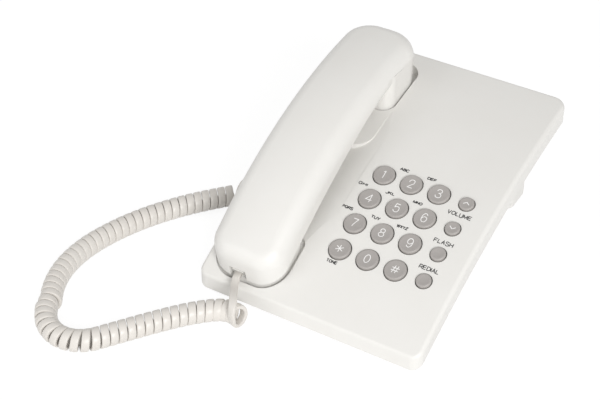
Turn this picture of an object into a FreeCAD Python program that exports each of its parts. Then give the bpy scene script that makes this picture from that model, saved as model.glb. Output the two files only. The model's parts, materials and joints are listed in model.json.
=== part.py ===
import FreeCAD, Part
import math
import os

V = FreeCAD.Vector

# Body casing: an arched slab, front edge low, back edge high
body_width = 150.0
body_depth = 200.0
panel_front_height = 11.3
panel_middle_height = 52.4
panel_back_height = 71.3
skirt_front_height = 1.5
skirt_middle_height = 40.3
skirt_back_height = 59.9
body_front_corner = 6.5
body_back_corner = 10.0
panel_edge_round = 2.6
body_wall = 2.5

# Bottom cover: a rim plate inside the skirt and a belly tray below it
cover_wall = 2.2
cover_fit = 0.3
belly_inset = 9.0
belly_drop = 12.0
belly_flat_height = 2.0

# Rear stand and rubber feet
stand_side_margin = 17.5
stand_back_margin = 12.0
stand_depth = 26.0
stand_corner = 6.0
stand_wall = 2.5
stand_foot_gap = 1.0
stand_fit = 0.2
foot_diameter = 10.0
foot_round = 0.6
foot_play = 0.1
front_foot_side_margin = 25.0
front_foot_front_margin = 18.5
rear_foot_margin = 13.5

# Keypad: three columns of large keys and one column of small keys
column_pitch = 18.56
row_pitch = 19.1
small_column_margin = 19.3
small_column_gap = 18.38
keypad_y = -32.2
large_key_diameter = 13.5
small_key_diameter = 9.3
key_height = 1.6
key_edge_round = 0.9
key_dish_depth = 0.35
key_dish_rim = 1.3
key_flange_width = 1.2
key_flange_thickness = 1.2
key_stem_diameter = 6.0
key_gap = 0.3
key_hole_gap = 0.6
key_flange_gap = 0.8
key_travel = 1.5
nub_diameter = 1.5
nub_sink = 0.4
nub_offset = (-4.2, 0.5)

# Circuit board and rubber key mat below the keypad
board_thickness = 1.6
mat_thickness = 1.2
dome_height = 0.8
board_left_margin = 12.2
board_right_margin = 6.3
board_front_v = -41.0
board_back_v = 70.0
mat_margin = 9.5
post_diameter = 6.0
board_screw_offsets = [(-27.7, -37.5), (-27.7, 62.0), (-62.7, 52.0), (1.3, 52.0)]

# Screws
screw_diameter = 2.8
screw_play = 0.1
screw_head_diameter = 5.6
screw_head_height = 2.0
screw_head_round = 0.8
screw_slot_width = 0.8
screw_slot_length = 3.9
screw_slot_depth = 1.0
screw_head_land = 0.2
case_screw_length = 12.0
board_screw_length = 3.8
handset_screw_length = 10.0
screw_boss_wall = 2.0
case_post_diameter = 7.8
left_case_screws = [(19.0, -46.0), (19.0, 24.0)]
right_case_screws = [(35.0, -79.0), (23.0, 62.0)]

# Handset: a crowned bar with an ear block and a mouth block, its heights above the panel
handset_x = -45.9
handset_width = 48.8
handset_front_y = -95.3
handset_back_y = 86.5
handset_top_rises = [(-84.0, 25.93), (-9.0, 32.63), (68.0, 29.34)]
handset_crown = 3.0
handset_top_round = 11.0
handset_front_corner = 16.0
handset_back_corner = 19.0
handset_front_lean = -0.2
handset_back_lean = 0.35
handset_wall = 2.2
grip_rises = [(-55.0, 3.16), (-10.0, 10.14), (40.0, 13.08)]
grip_step = 1.0
grip_round = 6.0
ear_front_y = 40.8
ear_corner = 8.0
ear_step = 0.3
mouth_length = 35.3
mouth_back_y = handset_front_y + mouth_length
mouth_corner = 6.0
mouth_step = 2.0
parting_rises = [(-95.0, 1.54), (-26.0, 13.18), (29.0, 21.5)]
parting_ear_rise = 18.7
parting_gap = 0.3

# Wells in the panel for the two blocks, and the finger scoop between them
ear_well_depth = 6.5
ear_well_corner = 11.0
mouth_well_depth = 4.0
ear_well_gap = 1.2
mouth_well_gap = 2.9
seat_gap = 0.3
scoop_x = -41.0
scoop_half_width = 28.0
scoop_depth = 4.0
scoop_rises = [(-60.0, -3.6), (-5.0, -4.7), (46.0, -3.5)]
scoop_back_y = 46.0
tongue_right_x = -20.5
tongue_front_y = 8.5
tongue_corner = 12.0

# Speech pieces in the handset
receiver_y = 67.0
receiver_diameter = 32.0
receiver_height = 8.0
gasket_width = 2.5
gasket_height = 1.5
ear_hole_diameter = 2.4
ear_hole_ring = 6.0
ear_hole_count = 6
microphone_inset = 20.3
microphone_y = handset_front_y + microphone_inset
microphone_diameter = 9.7
microphone_height = 6.0
microphone_rubber = 1.6
mouth_hole_diameter = 2.0
mouth_hole_pitch = 4.0
weight_length = 46.0
weight_width = 22.0
weight_height = 5.0
weight_y = 8.0
front_screw_inset = 25.8
handset_screw_spots = [(-59.0, 47.6), (-33.0, handset_front_y + front_screw_inset)]

# Modular sockets and plugs of the curly cord
socket_x = -48.0
socket_rise = 4.3
socket_inset = 3.1
socket_width = 10.4
socket_height = 8.0
socket_depth = 10.5
socket_wall = 1.2
plug_play = 0.2
plug_proud = 2.0
handset_plug_proud = 0.6
jack_y = -12.0
jack_drop = 4.9

# Line socket and slide switches in the rear wall of the belly
line_jack_x = 30.0
line_jack_width = 14.0
line_jack_height = 9.6
line_jack_depth = 16.0
line_jack_wall = 1.4
line_jack_lift = 0.4
selector_spots = {"ringer_selector": -8.0, "dialling_selector": -36.0}
selector_body = (13.0, 6.0, 6.0)
selector_knob = (4.0, 2.6)
selector_travel = 2.5
selector_gap = 0.3
selector_proud = 1.5

# Hook switch below the ear block
hook_y = 46.6
hook_diameter = 8.0
hook_play = 0.2
hook_travel = 4.0
hook_round = 1.0
hook_flange = 10.0
hook_flange_gap = 1.6
hook_flange_thickness = 1.4
hook_spring_wire = 0.6
hook_spring_radius = 3.2
hook_spring_turns = 3
hook_spring_seat = 1.0
switch_size = (9.0, 6.0, 5.0)

# Ringer disc and ballast plate on the belly floor
ringer_back_margin = 38.0
ringer_spot = (12.0, body_depth / 2 - ringer_back_margin)
ringer_diameter = 30.0
ringer_thickness = 1.2
ringer_crystal_diameter = 21.0
ringer_seat_height = 2.0
vent_length = 14.0
vent_width = 2.0
vent_offsets = [-6.0, -2.0, 2.0, 6.0]
ballast_size = (58.0, 34.0, 3.0)
ballast_spot = (8.0, 18.0)
inner_gap = 0.3

# Curly cord: wire, curls, their line from the front left corner and the tails' points from the plugs
wire_diameter = 3.0
curl_radius = 5.4
curl_pitch = 5.25
curl_rest_height = 7.0
curl_route = [
    (-24.0, 79.5), (-38.5, 63.5), (-51.0, 46.5), (-61.5, 28.5), (-69.5, 9.5),
    (-74.8, -10.5), (-75.5, -31.0), (-70.5, -50.0), (-61.5, -66.0), (-53.2, -78.8),
    (-39.1, -84.8), (-24.5, -80.6), (-13.8, -66.0), (-1.5, -49.0), (11.5, -32.5),
    (19.8, -24.3), (27.8, -18.6), (42.0, -16.6),
]
handset_tail_steps = [(12.4, -24.6, 0.2), (9.9, -20.5, 1.8)]
base_tail_steps = [(-24.2, -10.9, -12.2), (-20.2, -7.5, -7.0), (-15.0, -3.3, -2.4)]
tail_lead = 5.0

reach = 400.0
least_corner = 1.5
tiny = 0.01


class Arch:
    """A circle in the side view through three (y, z) points."""

    def __init__(self, points):
        front, middle, back = [V(0, y, z) for y, z in points]
        circle = Part.Arc(front, middle, back).toShape().Curve
        self.center = circle.Center
        self.radius = circle.Radius

    def height(self, y, drop=0.0):
        run = y - self.center.y
        return self.center.z + math.sqrt((self.radius - drop) ** 2 - run ** 2)

    def normal(self, y):
        direction = V(0, y, self.height(y)) - self.center
        return direction.normalize()

    def point(self, x, y, drop=0.0):
        """The point below (x, y) on the panel, measured along the normal."""
        surface = V(x, y, self.height(y))
        return surface - self.normal(y) * drop

    def below(self, drop=0.0):
        """Everything under the arch, lowered by drop."""
        ends = body_depth * 0.7
        front = V(-reach / 2, -ends, self.height(-ends, drop))
        middle = V(-reach / 2, 0, self.height(0, drop))
        back = V(-reach / 2, ends, self.height(ends, drop))
        floor_front = V(-reach / 2, -ends, -reach)
        floor_back = V(-reach / 2, ends, -reach)
        edges = [
            Part.Arc(front, middle, back).toShape(),
            Part.makeLine(back, floor_back),
            Part.makeLine(floor_back, floor_front),
            Part.makeLine(floor_front, front),
        ]
        return Part.Face(Part.Wire(edges)).extrude(V(reach, 0, 0))


panel = Arch([
    (-body_depth / 2, panel_front_height),
    (0.0, panel_middle_height),
    (body_depth / 2, panel_back_height),
])
skirt = Arch([
    (-body_depth / 2, skirt_front_height),
    (0.0, skirt_middle_height),
    (body_depth / 2, skirt_back_height),
])


def above_panel(rises):
    return [(y, panel.height(y) + rise) for y, rise in rises]


handset_top = Arch(above_panel(handset_top_rises))
grip_under = Arch(above_panel(grip_rises))
parting = Arch(above_panel(parting_rises))
parting_ear_height = panel.height(receiver_y) + parting_ear_rise

# Places that follow the edges of the body
small_column_x = body_width / 2 - small_column_margin
first_column_x = small_column_x - small_column_gap - 2 * column_pitch
board_left_x = first_column_x - board_left_margin
board_right_x = small_column_x + board_right_margin
board_screw_spots = [(small_column_x + across, up) for across, up in board_screw_offsets]
case_screw_spots = [(margin - body_width / 2, y) for margin, y in left_case_screws]
case_screw_spots += [(body_width / 2 - margin, y) for margin, y in right_case_screws]
stand_width = body_width - 2 * stand_side_margin
stand_back_y = body_depth / 2 - stand_back_margin
stand_front_y = stand_back_y - stand_depth
front_foot_x = body_width / 2 - front_foot_side_margin
front_foot_y = front_foot_front_margin - body_depth / 2
rear_foot_x = stand_width / 2 - rear_foot_margin


def box(x0, x1, y0, y1, z0, z1):
    return Part.makeBox(x1 - x0, y1 - y0, z1 - z0, V(x0, y0, z0))


def rounded_prism(x0, x1, y0, y1, z0, z1, front_round, back_round):
    """A box with its upright edges rounded, front and back apart."""
    block = box(x0, x1, y0, y1, z0, z1)
    upright = [e for e in block.Edges if abs(e.tangentAt(e.FirstParameter).z) > 0.9]
    front = [e for e in upright if e.CenterOfMass.y < (y0 + y1) / 2]
    block = block.makeFillet(front_round, front)
    upright = [e for e in block.Edges if e.Curve.TypeId == "Part::GeomLine"]
    back = [e for e in upright if abs(e.CenterOfMass.y - y1) < tiny and abs(e.tangentAt(0).z) > 0.9]
    return block.makeFillet(back_round, back)


def tangent_arc(start, corner, end):
    """The arc from start to end that is tangent to both legs of the corner."""
    middle = (start + end) * 0.5
    rise = corner - middle
    half_chord = (end - start).Length / 2
    lean = math.atan2(rise.Length, half_chord)
    top = middle + rise * (half_chord * math.tan(lean / 2) / rise.Length)
    return Part.Arc(start, top, end).toShape()


def rounded_outline(x0, x1, y0, y1, z, front_round, back_round):
    """A level rectangle with rounded corners, front and back apart."""
    corners = [(x0, y0, front_round), (x1, y0, front_round), (x1, y1, back_round), (x0, y1, back_round)]
    center = V((x0 + x1) / 2, (y0 + y1) / 2, z)
    edges = []
    ends = []
    for x, y, radius in corners:
        way_x = V(math.copysign(radius, center.x - x), 0, 0)
        way_y = V(0, math.copysign(radius, center.y - y), 0)
        corner = V(x, y, z)
        legs = [corner + way_x, corner + way_y]
        if (x < center.x) == (y < center.y):
            legs.reverse()
        ends.append((legs[0], corner, legs[1]))
    for index, (start, corner, end) in enumerate(ends):
        edges.append(tangent_arc(start, corner, end))
        edges.append(Part.makeLine(end, ends[(index + 1) % len(ends)][0]))
    return Part.Wire(edges)


def cylinder(diameter, base, direction, length):
    return Part.makeCylinder(diameter / 2, length, base, direction)


def up_cylinder(diameter, x, y, z0, z1):
    return cylinder(diameter, V(x, y, z0), V(0, 0, 1), z1 - z0)


def edges_of_face_with_radius(shape, radius):
    """The edges round the face that lies on a cylinder or torus of this radius."""
    for face in shape.Faces:
        surface = face.Surface
        size = getattr(surface, "MajorRadius", getattr(surface, "Radius", 0.0))
        if abs(size - radius) < tiny:
            return face.OuterWire.Edges
    raise ValueError("no face of that radius")


def body_prism(inset):
    half_width = body_width / 2 - inset
    half_depth = body_depth / 2 - inset
    front = max(body_front_corner - inset, least_corner)
    back = max(body_back_corner - inset, least_corner)
    return rounded_prism(
        -half_width, half_width, -half_depth, half_depth, -reach / 2, reach / 2, front, back)


# Outlines of the handset and its two blocks, seen from above


def handset_outline(inset, z):
    """Outline of the cover at height z: the ends lean with the handset's slope."""
    rise = z - parting_ear_height
    dip = z - parting.height(handset_front_y)
    left = handset_x - handset_width / 2 + inset
    right = handset_x + handset_width / 2 - inset
    front = handset_front_y + handset_front_lean * dip + inset
    back = handset_back_y - handset_back_lean * rise - inset
    return rounded_outline(
        left, right, front, back, z, handset_front_corner - inset, handset_back_corner - inset)


def cover_prism(inset):
    low = handset_outline(inset, 0.0)
    high = handset_outline(inset, handset_top.height(handset_back_y) + handset_top_round)
    return Part.makeLoft([low, high], True, True)


def block_prism(inset, front, back, front_round, back_round):
    left = handset_x - handset_width / 2 + inset
    right = handset_x + handset_width / 2 - inset
    return rounded_prism(
        left, right, front + inset, back - inset, -reach / 4, reach / 4,
        front_round - inset, back_round - inset)


def grip_prism(inset):
    return block_prism(
        inset + grip_step, handset_front_y, handset_back_y, handset_front_corner, handset_back_corner)


def ear_prism(inset):
    return block_prism(inset + ear_step, ear_front_y, handset_back_y, ear_corner, handset_back_corner)


def ear_well_prism(inset):
    """The ear block's outline with tighter corners at the back."""
    return block_prism(inset + ear_step, ear_front_y, handset_back_y, ear_corner, ear_well_corner)


def mouth_prism(inset):
    return block_prism(inset + mouth_step, handset_front_y, mouth_back_y, handset_front_corner, mouth_corner)


# Body casing


def slab_form():
    block = body_prism(0.0).common(panel.below()).cut(skirt.below())
    return block.makeFillet(panel_edge_round, edges_of_face_with_radius(block, panel.radius))


def slab_cavity():
    return body_prism(body_wall).common(panel.below(body_wall))


def well_space(prism, gap, depth):
    return prism(-gap).cut(panel.below(depth))


def well_block(prism, gap, depth, extra=0.0):
    return prism(-gap - body_wall - extra).cut(panel.below(depth + body_wall + extra))


def scoop_tool():
    """A shallow trough with soft edges that runs out at the back, round a raised tongue."""
    quarter = scoop_half_width / 2
    half_depth = scoop_depth / 2
    curve = (quarter ** 2 + half_depth ** 2) / (2 * half_depth)
    bend = math.asin(quarter / curve) / 2
    bow = curve * (1 - math.cos(bend))
    side = curve * math.sin(bend)
    bed = Arch(above_panel(scoop_rises))

    def at(x, rise):
        return V(scoop_x + x, bed.center.y, bed.center.z + bed.radius + scoop_depth + rise)

    left, right = -scoop_half_width, scoop_half_width
    cover_rise = 2 * scoop_depth
    edges = [
        Part.Arc(at(left, 0), at(left + side, -bow), at(left + quarter, -half_depth)).toShape(),
        Part.Arc(at(left + quarter, -half_depth), at(0, -scoop_depth), at(quarter, -half_depth)).toShape(),
        Part.Arc(at(quarter, -half_depth), at(right - side, -bow), at(right, 0)).toShape(),
        Part.makeLine(at(right, 0), at(right, cover_rise)),
        Part.makeLine(at(right, cover_rise), at(left, cover_rise)),
        Part.makeLine(at(left, cover_rise), at(left, 0)),
    ]
    trough = Part.Face(Part.Wire(edges))
    turn_front = math.degrees(math.asin((mouth_back_y - mouth_well_gap - bed.center.y) / bed.radius))
    turn_back = math.degrees(math.asin((scoop_back_y - bed.center.y) / bed.radius))
    trough.rotate(bed.center, V(1, 0, 0), -turn_front)
    solid = trough.revolve(bed.center, V(1, 0, 0), turn_front - turn_back)
    tongue = rounded_prism(
        -body_width, tongue_right_x, tongue_front_y, body_depth, -reach / 4, reach / 4,
        tongue_corner, least_corner)
    return solid.cut(tongue)


# Keypad frame: u along x, v up the slope, w out of the panel

keypad_tilt = math.degrees(math.asin((panel.center.y - keypad_y) / panel.radius))
keypad_origin = panel.point(0.0, keypad_y)
keypad_turn = FreeCAD.Rotation(V(1, 0, 0), keypad_tilt)


def on_keypad(shape):
    placed = shape.copy()
    placed.Placement = FreeCAD.Placement(keypad_origin, keypad_turn).multiply(placed.Placement)
    return placed


def panel_level(v):
    """Height of the arched panel over the keypad plane at v, along w."""
    return math.sqrt(panel.radius ** 2 - v ** 2) - panel.radius


def key_spots():
    """Name, u, v and diameter of every key."""
    spots = []
    rows = [["key_1", "key_2", "key_3", "key_volume_up"],
            ["key_4", "key_5", "key_6", "key_volume_down"],
            ["key_7", "key_8", "key_9", "key_flash"],
            ["key_star", "key_0", "key_hash", "key_redial"]]
    for row, names in enumerate(rows):
        v = (1.5 - row) * row_pitch
        for column, name in enumerate(names):
            small = column == 3
            u = small_column_x if small else first_column_x + column * column_pitch
            spots.append((name, u, v, small_key_diameter if small else large_key_diameter))
    return spots


lowest_panel_level = panel_level(1.5 * row_pitch)
flange_depth = body_wall + key_flange_gap
stem_bottom = lowest_panel_level - flange_depth - key_flange_thickness - key_gap
dome_top = stem_bottom - key_travel - key_gap
mat_top = dome_top - dome_height
board_top = mat_top - mat_thickness


def key(u, v, diameter):
    level = panel_level(v)
    top = level + key_height
    flange_top = level - flange_depth
    head = up_cylinder(diameter, u, v, flange_top, top)
    rim = [e for e in head.Edges if abs(e.CenterOfMass.z - top) < tiny]
    head = head.makeFillet(key_edge_round, rim)
    dish_diameter = diameter - 2 * key_dish_rim
    dish_radius = ((dish_diameter / 2) ** 2 + key_dish_depth ** 2) / (2 * key_dish_depth)
    dish = Part.makeSphere(dish_radius, V(u, v, top + dish_radius - key_dish_depth))
    flange = up_cylinder(diameter + 2 * key_flange_width, u, v, flange_top - key_flange_thickness, flange_top)
    stem = up_cylinder(key_stem_diameter, u, v, stem_bottom, flange_top)
    return on_keypad(head.cut(dish).fuse([flange, stem]).removeSplitter())


def middle_key(u, v, diameter):
    """The key of the middle row and column, with a small nub to feel for."""
    x, y = nub_offset
    nub = Part.makeSphere(nub_diameter / 2, V(u + x, v + y, panel_level(v) + key_height - nub_sink))
    return key(u, v, diameter).fuse(on_keypad(nub)).removeSplitter()


def key_holes():
    return [on_keypad(up_cylinder(d + 2 * key_hole_gap, u, v, -body_depth / 8, body_depth / 8))
            for name, u, v, d in key_spots()]


def key_mat():
    spots = key_spots()
    left = min(u for name, u, v, diameter in spots) - mat_margin
    right = max(u for name, u, v, diameter in spots) + small_key_diameter / 2 + key_flange_width
    top = 1.5 * row_pitch + mat_margin
    sheet = box(left, right, -top, top, board_top, mat_top)
    domes = [up_cylinder(key_stem_diameter, u, v, mat_top - mat_thickness / 2, dome_top)
             for name, u, v, diameter in spots]
    hole = up_cylinder(post_diameter + 2 * inner_gap, *board_screw_spots[0], board_top - 1, mat_top + 1)
    return on_keypad(sheet.fuse(domes).removeSplitter().cut(hole))


def main_board():
    board = box(
        board_left_x, board_right_x, board_front_v, board_back_v, board_top - board_thickness, board_top)
    holes = [up_cylinder(screw_diameter + 2 * screw_play, u, v, board_top - 5, board_top + 5)
             for u, v in board_screw_spots]
    return on_keypad(board.cut(Part.makeCompound(holes)))


def board_posts():
    return [on_keypad(up_cylinder(post_diameter, u, v, board_top, body_wall)) for u, v in board_screw_spots]


def board_post_holes():
    depth = board_screw_length - board_thickness + 1.0
    return [on_keypad(up_cylinder(screw_diameter + 2 * screw_play, u, v, board_top - 1, board_top + depth))
            for u, v in board_screw_spots]


def screw(x, y, head_bottom, length):
    """A pan-head screw pointing up, its head below."""
    head = up_cylinder(screw_head_diameter, x, y, head_bottom, head_bottom + screw_head_height)
    rim = [e for e in head.Edges if abs(e.CenterOfMass.z - head_bottom) < tiny]
    head = head.makeFillet(screw_head_round, rim)
    shank_top = head_bottom + screw_head_height + length
    shank = up_cylinder(screw_diameter, x, y, head_bottom + screw_head_height, shank_top)
    arm = screw_slot_length / 2
    half = screw_slot_width / 2
    slot_top = head_bottom + screw_slot_depth
    cross = [box(x - arm, x + arm, y - half, y + half, head_bottom - 1, slot_top),
             box(x - half, x + half, y - arm, y + arm, head_bottom - 1, slot_top)]
    return head.fuse(shank).removeSplitter().cut(Part.makeCompound(cross))


def board_screws():
    head_bottom = board_top - board_thickness - screw_head_height
    return Part.makeCompound(
        [on_keypad(screw(u, v, head_bottom, board_screw_length)) for u, v in board_screw_spots])


# Case screws: heads recessed in the belly, shanks up into posts of the upper casing


def belly_floor(y):
    return max(belly_flat_height, skirt.height(y, belly_drop))


def case_screw_seat(y):
    """Height of the underside of a case screw's head."""
    lowest = belly_floor(y - screw_head_diameter / 2 - screw_boss_wall)
    highest = belly_floor(y + screw_head_diameter / 2 + screw_boss_wall)
    return max(lowest, highest) + screw_head_land


def case_boss_top(y):
    return case_screw_seat(y) + screw_head_height + screw_boss_wall


def case_posts():
    return [up_cylinder(case_post_diameter, x, y, case_boss_top(y) + cover_fit, reach / 4)
            for x, y in case_screw_spots]


def case_post_holes():
    hole = screw_diameter + 2 * screw_play
    depth = screw_head_height + case_screw_length + 1
    return [up_cylinder(hole, x, y, case_screw_seat(y), case_screw_seat(y) + depth)
            for x, y in case_screw_spots]


def case_screws():
    return Part.makeCompound([
        screw(x, y, case_screw_seat(y), case_screw_length) for x, y in case_screw_spots])


def hook_top():
    return panel.height(hook_y, ear_well_depth)


def upper_shell():
    form = slab_form()
    cavity = slab_cavity()
    shell = form.cut(cavity)
    ear_block = well_block(ear_well_prism, ear_well_gap, ear_well_depth)
    mouth_block = well_block(mouth_prism, mouth_well_gap, mouth_well_depth)
    wells = ear_block.fuse(mouth_block)
    scoop = scoop_tool()
    scoop_floor = scoop.copy()
    scoop_floor.translate(panel.normal(tongue_front_y) * -body_wall)
    inside = [wells.common(form), scoop_floor.common(form)]
    inside += [post.common(cavity) for post in case_posts() + board_posts()]
    shell = shell.fuse(inside)
    ear_space = well_space(ear_well_prism, ear_well_gap, ear_well_depth)
    mouth_space = well_space(mouth_prism, mouth_well_gap, mouth_well_depth)
    shell = shell.cut([ear_space, mouth_space, scoop])
    hook_hole = up_cylinder(hook_diameter + 2 * hook_play, handset_x, hook_y, 0, reach / 4)
    return shell.cut(key_holes() + board_post_holes() + case_post_holes() + [hook_hole]).removeSplitter()


# Bottom cover


def belly_form(inset, wall):
    lift = skirt.below(-cover_wall)
    form = body_prism(belly_inset + inset).common(lift)
    form = form.cut(skirt.below(belly_drop - wall))
    return form.common(box(-reach, reach, -reach, reach, belly_flat_height + wall, reach))


def bottom_cover():
    rim = body_prism(body_wall + cover_fit)
    plate = rim.common(skirt.below(-cover_wall)).cut(skirt.below())
    outer = belly_form(0.0, 0.0)
    tray = plate.fuse(outer).cut(belly_form(cover_wall, cover_wall))
    boss = screw_head_diameter + 2 * screw_boss_wall
    bosses = [up_cylinder(boss, x, y, 0, case_boss_top(y)).common(outer) for x, y in case_screw_spots]
    seat_x, seat_y = ringer_spot
    ringer_seat = up_cylinder(ringer_diameter, seat_x, seat_y, 0, ringer_base())
    ringer_bore = up_cylinder(ringer_diameter - 2 * cover_wall, seat_x, seat_y, 0, reach)
    spring_seat = up_cylinder(hook_flange, handset_x, hook_y, 0, hook_spring_base())
    inside = bosses + [ringer_seat.common(outer).cut(ringer_bore), spring_seat.common(outer)]
    inside.append(hook_switch_seat().common(outer))
    tray = tray.fuse(inside)
    head_hole = screw_head_diameter + 4 * screw_play
    cuts = [up_cylinder(head_hole, x, y, 0, case_screw_seat(y) + screw_head_height)
            for x, y in case_screw_spots]
    cuts += case_post_holes()
    cuts += [jack_hole(), line_jack_hole()] + selector_slots() + ringer_vents()
    cuts.append(well_block(mouth_prism, mouth_well_gap, mouth_well_depth, cover_fit))
    cuts.append(well_block(ear_well_prism, ear_well_gap, ear_well_depth, cover_fit))
    return tray.cut(cuts).removeSplitter()


# Rear stand and feet


def stand_form(inset):
    half = stand_width / 2 - inset
    return rounded_prism(
        -half, half, stand_front_y + inset, stand_back_y - inset, stand_foot_gap + inset, reach / 4,
        stand_corner - inset, stand_corner - inset)


def rear_foot_y():
    return (stand_front_y + stand_back_y) / 2


def rear_stand():
    outer = stand_form(0.0).common(skirt.below(belly_drop + stand_fit))
    recesses = [up_cylinder(foot_diameter + 2 * foot_play, x, rear_foot_y(), 0, 2 * stand_foot_gap)
                for x in (-rear_foot_x, rear_foot_x)]
    return outer.cut(stand_form(stand_wall)).cut(recesses)


def foot(x, y, top):
    pad = up_cylinder(foot_diameter, x, y, 0, top)
    rim = [e for e in pad.Edges if abs(e.CenterOfMass.z) < tiny]
    return pad.makeFillet(foot_round, rim)


def front_feet():
    return Part.makeCompound([
        foot(x, front_foot_y, belly_flat_height) for x in (-front_foot_x, front_foot_x)])


def rear_feet():
    return Part.makeCompound([
        foot(x, rear_foot_y(), 2 * stand_foot_gap) for x in (-rear_foot_x, rear_foot_x)])


# Sockets and switches in the belly walls


def belly_left_x():
    return -body_width / 2 + belly_inset


def belly_back_y():
    return body_depth / 2 - belly_inset


def jack_place():
    return skirt.point(belly_left_x(), jack_y, jack_drop)


def at_jack(x0, x1, half_width, half_height):
    """A box on the axis of the cord socket, tilted with the belly."""
    block = box(x0, x1, -half_width, half_width, -half_height, half_height)
    tilt = math.degrees(math.asin((skirt.center.y - jack_y) / skirt.radius))
    block.Placement = FreeCAD.Placement(jack_place(), FreeCAD.Rotation(V(1, 0, 0), tilt))
    return block


def handset_jack():
    """The cord socket in the left wall of the belly."""
    body = at_jack(0.0, socket_depth, socket_width / 2, socket_height / 2)
    half_width = socket_width / 2 - socket_wall
    half_height = socket_height / 2 - socket_wall
    return body.cut(at_jack(-1.0, socket_depth - socket_wall, half_width, half_height))


def jack_hole():
    return at_jack(-1.0, cover_wall + 1, socket_width / 2 + inner_gap, socket_height / 2 + inner_gap)


def cord_plug_base():
    half_width = socket_width / 2 - socket_wall - plug_play
    half_height = socket_height / 2 - socket_wall - plug_play
    return at_jack(-plug_proud, socket_depth - socket_wall - plug_play, half_width, half_height)


def line_jack_floor():
    return belly_floor(belly_back_y()) + cover_wall + line_jack_lift


def line_jack_box(wall, front, back):
    half = line_jack_width / 2 - wall
    low = line_jack_floor()
    return box(line_jack_x - half, line_jack_x + half, front, back, low + wall, low + line_jack_height - wall)


def line_jack():
    back = belly_back_y()
    body = line_jack_box(0.0, back - line_jack_depth, back)
    return body.cut(line_jack_box(line_jack_wall, back - line_jack_depth + line_jack_wall, back + 1))


def line_jack_hole():
    back = belly_back_y()
    return line_jack_box(-inner_gap, back - cover_wall - 1, back + 1)


def selector_z():
    return line_jack_floor() + line_jack_height / 2


def selector_slots():
    back = belly_back_y()
    width, height = selector_knob
    half = width / 2 + selector_travel + selector_gap
    rise = height / 2 + selector_gap
    return [box(x - half, x + half, back - cover_wall - 1, back + 1, selector_z() - rise, selector_z() + rise)
            for x in selector_spots.values()]


def selector_switches():
    back = belly_back_y() - cover_wall - selector_gap
    width, depth, height = selector_body
    low = selector_z() - height / 2
    return Part.makeCompound([
        box(x - width / 2, x + width / 2, back - depth, back, low, low + height)
        for x in selector_spots.values()])


def selector(x):
    back = belly_back_y()
    width, height = selector_knob
    low = selector_z() - height / 2
    return box(x - width / 2, x + width / 2, back - cover_wall, back + selector_proud, low, low + height)


# Hook switch


def hook_flange_top():
    return hook_top() - body_wall - hook_travel - hook_flange_gap


def hook_spring_base():
    return belly_floor(hook_y) + cover_wall + hook_spring_seat


def hook_spring_top():
    return hook_flange_top() - hook_flange_thickness


def hook_plunger():
    top = hook_top()
    stem = up_cylinder(hook_diameter, handset_x, hook_y, hook_flange_top(), top - inner_gap)
    rim = [e for e in stem.Edges if abs(e.CenterOfMass.z - top + inner_gap) < tiny]
    stem = stem.makeFillet(hook_round, rim)
    flange = up_cylinder(hook_flange, handset_x, hook_y, hook_spring_top(), hook_flange_top())
    return stem.fuse(flange).removeSplitter()


def hook_spring():
    """A short compression spring between the belly floor and the plunger's flange."""
    low = hook_spring_base() + hook_spring_wire / 2 + inner_gap
    high = hook_spring_top() - hook_spring_wire / 2 - inner_gap
    count = 2 * hook_spring_turns
    rise = (high - low) / count
    climb = 2 * rise / (2 * math.pi * hook_spring_radius)
    knots = []
    for half in range(count + 1):
        side = 1 if half % 2 == 0 else -1
        place = V(handset_x + side * hook_spring_radius, hook_y, low + half * rise)
        knots.append((place, V(0, side, climb).normalize()))
    edges = []
    for (start, start_way), (end, end_way) in zip(knots, knots[1:]):
        edges += biarc(start, start_way, end, end_way)
    return tube(edges, hook_spring_wire)


def hook_switch_box(low):
    width, depth, height = switch_size
    left = handset_x + hook_flange / 2 + inner_gap
    return box(left, left + width, hook_y - depth / 2, hook_y + depth / 2, low, low + height)


def hook_switch_low():
    return belly_floor(hook_y + switch_size[1] / 2) + cover_wall + inner_gap


def hook_switch():
    return hook_switch_box(hook_switch_low())


def hook_switch_seat():
    return hook_switch_box(hook_switch_low() - switch_size[2])


# Ringer and ballast


def ringer_base():
    return belly_floor(ringer_spot[1] + ringer_diameter / 2) + cover_wall + ringer_seat_height


def ringer_vents():
    x, y = ringer_spot
    half_width = vent_width / 2
    half_length = vent_length / 2
    top = ringer_base() - ringer_seat_height / 2
    return [box(x + offset - half_width, x + offset + half_width, y - half_length, y + half_length, 0, top)
            for offset in vent_offsets]


def ringer_disc():
    x, y = ringer_spot
    plate = up_cylinder(ringer_diameter, x, y, ringer_base(), ringer_base() + ringer_thickness / 2)
    disc_top = ringer_base() + ringer_thickness
    return plate.fuse(up_cylinder(ringer_crystal_diameter, x, y, ringer_base(), disc_top)).removeSplitter()


def ballast_plate():
    x, y = ballast_spot
    length, width, height = ballast_size
    tilt = math.degrees(math.asin((skirt.center.y - y) / skirt.radius))
    plate = box(-length / 2, length / 2, -width / 2, width / 2, 0, height)
    seat = skirt.point(x, y, belly_drop - cover_wall - inner_gap)
    plate.Placement = FreeCAD.Placement(seat, FreeCAD.Rotation(V(1, 0, 0), tilt))
    return plate


# Handset shells


def below_parting(drop):
    """Everything under the parting line: it arches up the grip and runs level at the ear."""
    level = box(-reach, reach, -reach, reach, -reach, parting_ear_height - drop)
    return parting.below(drop).common(level)


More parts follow.
